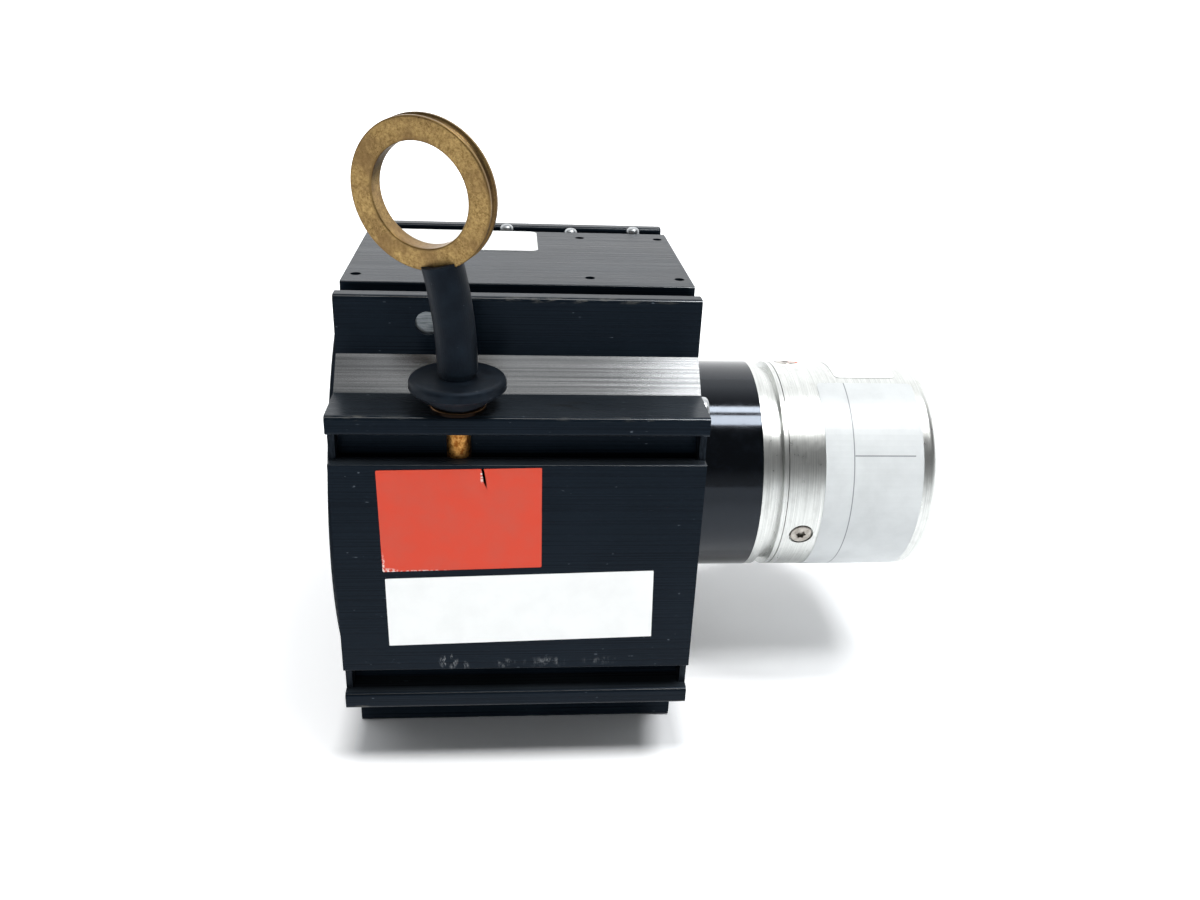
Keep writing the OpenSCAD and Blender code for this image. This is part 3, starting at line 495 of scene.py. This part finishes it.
def vinyl_film(name, ink, shade, gloss):
    """Printed vinyl film: an even colour, slightly faded and rubbed, with a faint sheen.

    The film's colour is handed back too, for finishes that lay more over it."""
    made, tree, shader = finish(name, IOR=1.46, Roughness=gloss)
    wear = add(tree, "TexNoise", {
        "Vector": millimetres(tree), "Scale": 0.12, "Detail": 5.0, "Roughness": 0.6})
    grain = add(tree, "TexNoise", {"Vector": millimetres(tree), "Scale": 2.2, "Detail": 2.0})
    film = add(tree, "Mix", {
        "Factor": add(tree, "MapRange", {"Value": wear, "From Min": 0.4, "From Max": 0.7}),
        "A": ink, "B": shade}, data_type="RGBA")
    feed(tree, shader, {
        "Base Color": film,
        "Normal": add(tree, "Bump", {"Height": grain, "Distance": 0.006 * MM})})
    return made, tree, shader, film


def red_vinyl():
    """The red film: scuffed to its pale paper at the lower left corner and along the tear."""
    made, tree, shader, film = vinyl_film("red_vinyl", "#cf3c1f", "#c6452f", 0.45)
    fray = add(tree, "TexNoise", {
        "Vector": millimetres(tree, (1.6, 1.0, 2.2)), "Scale": 1.0, "Detail": 3.0})
    fray = add(tree, "MapRange", {"Value": fray, "From Min": 0.45, "From Max": 0.56})
    feed(tree, shader, {"Base Color": marked(tree, film, fray, [
        ((-30.0, FRONT_Y, 59.5), (3.0, 2, 0.9), 1.0),
        ((-30.8, FRONT_Y, 61.5), (0.5, 2, 3.0), 1.0),
        ((-20.0, FRONT_Y, 59.4), (10.0, 2, 0.45), 1.0),
        ((-8.3, FRONT_Y, 83.5), (0.5, 2, 1.8), 1.0)], "#f0dcd5", soft=0.5)})
    return made


def ruled_label():
    """Silvery polyester label with plain grey rules: one round the encoder and one along it."""
    made, tree, shader, film = vinyl_film("ruled_label", "#d0d4d5", "#c6cacb", 0.34)
    place = add(tree, "SeparateXYZ", {"Vector": millimetres(tree)})
    bands = []
    for axis, middle, half_width in (
            ("X", RULE_X, RULE_HALF), ("Z", RULE_Z, RULE_HALF),
            ("X", RULE_X + 0.2 + RULE_LENGTH / 2, RULE_LENGTH / 2)):
        gap = add(tree, "Math", {
            0: add(tree, "Math", {0: place.outputs[axis], 1: middle}, operation="SUBTRACT")},
            operation="ABSOLUTE")
        bands.append(add(tree, "MapRange", {
            "Value": gap, "From Min": half_width - 0.05, "From Max": half_width + 0.05,
            "To Min": 0.8, "To Max": 0.0}))
    round_rule, height_band, length_band = bands
    along = add(tree, "Math", {0: height_band, 1: length_band}, operation="MINIMUM")
    rules = add(tree, "Math", {0: round_rule, 1: along}, operation="MAXIMUM")
    feed(tree, shader, {
        "Base Color": add(tree, "Mix", {"Factor": rules, "A": film, "B": "#5f656b"},
                          data_type="RGBA")})
    return made


def thread_sealant():
    """Orange sealing varnish: a glossy dab across a screw."""
    made, tree, shader = finish("thread_sealant", Roughness=0.25, IOR=1.5)
    thick = add(tree, "TexNoise", {"Vector": millimetres(tree), "Scale": 1.5, "Detail": 2.0})
    feed(tree, shader, {
        "Base Color": add(tree, "Mix", {"Factor": thick, "A": "#b8391a", "B": "#e07040"},
                          data_type="RGBA")})
    return made


def moulded_plastic(name, ink, roughness):
    """Moulded or laminated plastic for the parts inside: one colour with a fine grain."""
    made, tree, shader = finish(name, Roughness=roughness, IOR=1.5)
    grain = add(tree, "TexNoise", {"Vector": millimetres(tree), "Scale": 3.0, "Detail": 3.0})
    tone = add(tree, "HueSaturation", {
        "Color": ink,
        "Value": add(tree, "MapRange", {"Value": grain, "To Min": 0.8, "To Max": 1.2})})
    feed(tree, shader, {
        "Base Color": tone,
        "Normal": add(tree, "Bump", {"Height": grain, "Distance": 0.02 * MM})})
    return made


def clear_glass():
    """Clear glass for the code disc, with a faint green edge."""
    return finish("clear_glass", Base_Color="#dfeee9", Transmission_Weight=0.9,
                  Roughness=0.05, IOR=1.52)[0]


# ---------------------------------------------------------------- stickers and labels

LABEL_LEFT = ENCODER_X0 + 9.6
LABEL_RIGHT = ENCODER_X1 - 4.0
RULE_X = ENCODER_X0 + 17.2  # place of the rule round the encoder's label
RULE_Z = 73.0               # height of the rule along it
RULE_LENGTH = 16.4          # its length, from close beside the other one
RULE_HALF = 0.14            # half of a rule's width


def piece(name, mesh, material):
    """Turn a bmesh into an object with one material, and free it."""
    data = bpy.data.meshes.new(name)
    mesh.to_mesh(data)
    mesh.free()
    data.materials.append(material)
    made = bpy.data.objects.new(name, data)
    bpy.context.collection.objects.link(made)
    return made


def rounded_outline(corners, radius, steps=6):
    """The corner points of a sheet with each corner rounded."""
    points = []
    count = len(corners)
    for i, here in enumerate(corners):
        here = Vector(here)
        back = (Vector(corners[i - 1]) - here).normalized()
        ahead = (Vector(corners[(i + 1) % count]) - here).normalized()
        half = back.angle(ahead) / 2
        middle = here + (back + ahead).normalized() * radius / math.sin(half)
        start = here + back * radius / math.tan(half) - middle
        end = here + ahead * radius / math.tan(half) - middle
        for k in range(steps + 1):
            points.append(middle + start.lerp(end, k / steps).normalized() * radius)
    return points


def film_piece(name, outline, place, material, cell):
    """A thin film on the housing.

    Its outline is filled with a grid of cells, laid by place(u, v, height) and given a thickness."""
    mesh = bmesh.new()
    face = mesh.faces.new([mesh.verts.new((u, v, 0)) for u, v in outline])
    bmesh.ops.triangulate(mesh, faces=[face])
    for axis in (0, 1):
        low = min(point[axis] for point in outline)
        high = max(point[axis] for point in outline)
        for k in range(1, int((high - low) / cell) + 1):
            cut, normal = Vector((0, 0, 0)), Vector((0, 0, 0))
            cut[axis] = low + k * cell
            normal[axis] = 1
            bmesh.ops.bisect_plane(mesh, geom=mesh.verts[:] + mesh.edges[:] + mesh.faces[:],
                                   plane_co=cut, plane_no=normal)
    raised = bmesh.ops.extrude_face_region(mesh, geom=mesh.faces[:])
    for vert in raised["geom"]:
        if isinstance(vert, bmesh.types.BMVert):
            vert.co.z = 1.0
    for vert in mesh.verts:
        vert.co = Vector(place(vert.co.x, vert.co.y, vert.co.z * FILM)) * MM
    bmesh.ops.recalc_face_normals(mesh, faces=mesh.faces)
    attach(piece(name, mesh, material), "housing")


def on_front(u, v, height):
    """u to the right and v up the front panel."""
    return (u, FRONT_Y - height, v)


def on_top(u, v, height):
    """u to the right and v to the rear on the top panel."""
    return (u, v, TOP_Z + height)


def round_encoder(u, v, height):
    """u along the encoder, v the arc above its front line."""
    angle = v / ENCODER_R
    r = ENCODER_R + height
    return (u, -r * math.cos(angle), AXIS_Z + r * math.sin(angle))


def stickers():
    """The films on the housing and the encoder; each is left bare."""
    white = vinyl_film("white_vinyl", "#f1f3f2", "#ebedec", 0.4)[0]
    red = rounded_outline([(-30.9, 59.3), (5.1, 60.3), (4.8, 85.6), (-31.3, 84.9)], 0.3)
    # a thin tear runs down from the top edge, which lies between the third corner and the fourth
    top_edge = len(red) * 3 // 4
    red[top_edge:top_edge] = [Vector(point) for point in (
        (-7.9, 85.34), (-7.55, 83.6), (-7.2, 80.3), (-8.0, 82.2), (-8.45, 85.33))]
    film_piece("red_sticker", red, on_front, red_vinyl(), cell=4)
    film_piece("white_sticker",
               rounded_outline([(-30.3, 39.05), (31.7, 40.8), (31.2, 59.1), (-30.5, 57.4)], 0.2),
               on_front, white, cell=4)
    film_piece("top_label", rounded_outline([(-35, 4.5), (5, 4.5), (5, 26.6), (-35, 26.6)], 2),
               on_top, white, cell=4)
    degree = ENCODER_R * math.pi / 180  # length of a degree round the encoder
    tag_left = LABEL_LEFT + 5.9
    for name, left, right, low, high, material in (
            ("encoder_label", LABEL_LEFT, LABEL_RIGHT, -120 * degree, 73 * degree, ruled_label()),
            ("encoder_tag", tag_left, tag_left + 17, 78 * degree, 115 * degree, white)):
        outline = rounded_outline([(left, low), (right, low), (right, high), (left, high)], 1.5)
        film_piece(name, outline, round_encoder, material, cell=1.5)


def sealant_dab():
    """A dab of varnish that bridges the upper radial screw and its seat."""
    half_length, half_width, half_height = 1.9, 1.3, 0.4
    beside_screw = 2.2           # from the screw's middle to the dab's
    sunk = 0.25                  # of its middle, below the encoder's skin
    turned = math.radians(13.5)  # from the encoder's top to the rear
    mesh = bmesh.new()
    bmesh.ops.create_icosphere(mesh, subdivisions=4, radius=1.0)
    for vert in mesh.verts:
        wobble = 1 + 0.16 * math.sin(3 * vert.co.x + 1) * math.cos(4 * vert.co.y)
        vert.co = Vector((vert.co.x * half_length * wobble, vert.co.y * half_width * wobble,
                          vert.co.z * half_height)) * MM
    for face in mesh.faces:
        face.smooth = True
    made = piece("sealant_dab", mesh, thread_sealant())
    low, high = [Vector(corner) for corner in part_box("body_screw_2")]
    r = (ENCODER_R - sunk) * MM
    made.matrix_world = Matrix.Translation((
        (low.x + high.x) / 2 + beside_screw * MM, r * math.sin(turned),
        AXIS_Z * MM + r * math.cos(turned))) @ Matrix.Rotation(-turned, 4, "X")
    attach(made, "housing")


def wire_rope():
    """The straight wire: it stands for the CAD cylinder, in rings along its length."""
    low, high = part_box("draw_wire")
    mesh = bmesh.new()
    rings, sides = 9, 24
    rows = []
    for k in range(rings):
        z = low[2] + (high[2] - low[2]) * k / (rings - 1)
        rows.append([mesh.verts.new((WIRE_X * MM + WIRE_R * MM * math.cos(math.tau * i / sides),
                                     WIRE_Y * MM + WIRE_R * MM * math.sin(math.tau * i / sides), z))
                     for i in range(sides)])
    for below, above in zip(rows, rows[1:]):
        for i in range(sides):
            j = (i + 1) % sides
            mesh.faces.new((below[i], below[j], above[j], above[i])).smooth = True
    mesh.faces.new(rows[0][::-1])
    mesh.faces.new(rows[-1])
    made = piece("wire_rope", mesh, ROPE)
    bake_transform(made)
    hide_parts("draw_wire")


# ---------------------------------------------------------------- finishes of the CAD nodes

ROPE = stranded_steel()


def dress():
    """Give each CAD node the finish of its material slot, or its own."""
    finishes = {
        "anodised": black_anodised_extrusion(),
        "black_lacquer": black_gloss_lacquer(),
        "plate_aluminium": milled_anodised_plate(),
        "encoder_aluminium": turned_aluminium(),
        "brass": aged_brass(),
        "rubber": black_rubber(),
        "spring_steel": plated_steel("blued_spring_steel", "#4f5d6b", "#2f3944", 0.35),
        "steel": plated_steel("ground_steel", "#b3b7ba", "#7d8286", 0.34),
        "screw_steel": plated_steel("zinc_plated_steel", "#b9bcbe", "#83878a", 0.32),
        "wire_steel": ROPE,
        "disc_glass": clear_glass(),
        "board": moulded_plastic("green_laminate", "#1f6a3c", 0.4),
        "nickel": plated_steel("nickel_plated_brass", "#cccac4", "#b6b4ad", 0.22),
        "insert_plastic": moulded_plastic("black_polyamide", "#141517", 0.55),
        "contact": plated_steel("gold_plated_contact", "#e2c274", "#b8923f", 0.22)}
    single = {
        "left_cover": black_anodised_cover(),
        "middle_plate": milled_aluminium(),
        "lip_plug": brushed_plug(),
        "nozzle": tarnished_brass_painted_light()}
    stainless = plated_steel("stainless_steel", "#b7b2ab", "#8a857e", 0.3)
    single.update({f"body_screw_{n}": stainless for n in (1, 2, 3)})
    slots = {row["node"]: row["material_slot"] for row in frame["record"]["subparts"]}
    for name, node in frame["nodes"].items():
        material = single.get(name, finishes[slots[name]])
        node.data.materials.clear()
        node.data.materials.append(material)


# ---------------------------------------------------------------- studio

def white_paper():
    """Matt white paper. It glows where it is seen, less far in front, and not under the object.

    So the ground is plain white and the shadow under the object stays."""
    made, tree, shader = finish("white_paper", Roughness=0.9, Base_Color="#e8eaec",
                                Specular_IOR_Level=0.1, Emission_Color="#ffffff")
    rays = add(tree, "LightPath")
    seen = add(tree, "Math", {0: rays.outputs["Is Camera Ray"], 1: rays.outputs["Is Glossy Ray"]},
               operation="MAXIMUM")
    seen = add(tree, "Math", {0: seen, 1: rays.outputs["Is Transmission Ray"]}, operation="MAXIMUM")
    # no glow under the housing, as wide and as deep as it is, and less under the encoder
    everywhere = 900
    under_housing = add(tree, "Math", {
        0: near(tree, (1, 0, 0), (49, everywhere, everywhere), 0.17),
        1: near(tree, (0, 2, 0), (everywhere, 59, everywhere), 0.12)}, operation="MULTIPLY")
    under_encoder = add(tree, "Math", {
        0: near(tree, (80, 8, 0), (52, 44, 90), 0.3), 1: 0.62}, operation="MULTIPLY")
    shaded = add(tree, "Math", {0: under_housing, 1: under_encoder}, operation="MAXIMUM")
    unshaded = add(tree, "MapRange", {"Value": shaded, "To Min": 0.56, "To Max": 0.0})
    depth = add(tree, "SeparateXYZ", {"Vector": millimetres(tree)}).outputs["Y"]
    far = add(tree, "MapRange", {"Value": depth, "From Min": 150, "From Max": 900, "To Max": 0.85})
    front = add(tree, "MapRange", {
        "Value": depth, "From Min": -220, "From Max": -100, "To Min": 0.15})
    close = add(tree, "Math", {0: unshaded, 1: front}, operation="MULTIPLY")
    glow = add(tree, "Math", {0: close, 1: far}, operation="ADD")
    feed(tree, shader, {
        "Emission Strength": add(tree, "Math", {0: seen, 1: glow}, operation="MULTIPLY")})
    return made


def backdrop():
    """A sheet of paper: a floor that sweeps up behind the object, in metres."""
    front, rear, top, half_width = -3.0, 1.6, 3.0, 4
    radius, steps = 0.8, 24
    rows = [(front, 0.0), (rear, 0.0)]
    rows += [(rear + radius * math.sin(a), radius - radius * math.cos(a))
             for a in (math.pi / 2 * k / steps for k in range(1, steps + 1))]
    rows.append((rear + radius, top))
    mesh = bmesh.new()
    pairs = [(mesh.verts.new((-half_width, y, z)), mesh.verts.new((half_width, y, z)))
             for y, z in rows]
    for (a, b), (c, d) in zip(pairs, pairs[1:]):
        mesh.faces.new((a, b, d, c)).smooth = True
    piece("backdrop", mesh, white_paper())


def lamp(name, place, size, power, aim=None, mirrored=True):
    """A rectangular lamp at place that faces down, or to aim; mirrored says if surfaces show it."""
    data = bpy.data.lights.new(name, "AREA")
    data.shape = "RECTANGLE"
    data.size, data.size_y = size
    data.energy = power
    made = bpy.data.objects.new(name, data)
    bpy.context.collection.objects.link(made)
    made.location = place
    if aim:
        made.rotation_euler = (Vector(aim) - Vector(place)).to_track_quat("-Z", "Y").to_euler()
    made.visible_glossy = mirrored


def room():
    """The room's own light: bright behind, dim in front, and brighter at the horizon all round."""
    world = bpy.data.worlds.new("room")
    bpy.context.scene.world = world
    world.use_nodes = True
    tree = world.node_tree
    direction = add(tree, "SeparateXYZ", {"Vector": add(tree, "TexCoord").outputs["Generated"]})
    behind = add(tree, "MapRange", {
        "Value": direction.outputs["Y"], "From Min": -0.05, "From Max": 0.45,
        "To Min": 0.15, "To Max": 1.5})
    low = add(tree, "MapRange", {
        "Value": direction.outputs["Z"], "From Min": 0.05, "From Max": 0.3,
        "To Min": 0.4, "To Max": 0.0})
    feed(tree, tree.nodes["Background"], {
        "Color": "#fdfeff",
        "Strength": add(tree, "Math", {0: behind, 1: low}, operation="ADD")})


def studio():
    """A ceiling fitting to the right with two wide tubes, the ceiling beside it, and a front fill."""
    backdrop()
    room()
    lamp("rear_tube", place=(0.45, -0.13, 1.35), size=(0.42, 0.16), power=6.3)
    lamp("front_tube", place=(0.45, -0.44, 1.35), size=(0.42, 0.28), power=9.6)
    lamp("near_ceiling", place=(0.02, -0.44, 1.36), size=(0.44, 0.45), power=2.2)
    lamp("far_ceiling", place=(-0.6, -0.44, 1.36), size=(0.8, 0.45), power=2.1)
    lamp("front_fill", place=(-0.25, -1.4, 0.16), size=(1.2, 0.3), power=6.0,
         aim=(0, -0.06, 0.06), mirrored=False)


def camera():
    """The viewpoint in front of and above the housing, turned a little to the right."""
    data = bpy.data.cameras.new("camera")
    data.sensor_width = 36
    data.lens = 30.524
    data.clip_start = 0.01
    data.clip_end = 50
    made = bpy.data.objects.new("camera", data)
    bpy.context.collection.objects.link(made)
    place = Vector((-2.396, -260.172, 183.351)) * MM
    down, right, tilt = [math.radians(angle) for angle in (24.788, 5.622, 2.5625)]
    turn = (Matrix.Rotation(-right, 4, "Z") @ Matrix.Rotation(math.pi / 2 - down, 4, "X")
            @ Matrix.Rotation(tilt, 4, "Z"))
    made.matrix_world = Matrix.Translation(place) @ turn
    bpy.context.scene.camera = made


camera()
studio()
dress()
stickers()
sealant_dab()
wire_rope()

bpy.context.scene.view_settings.view_transform = "Standard"
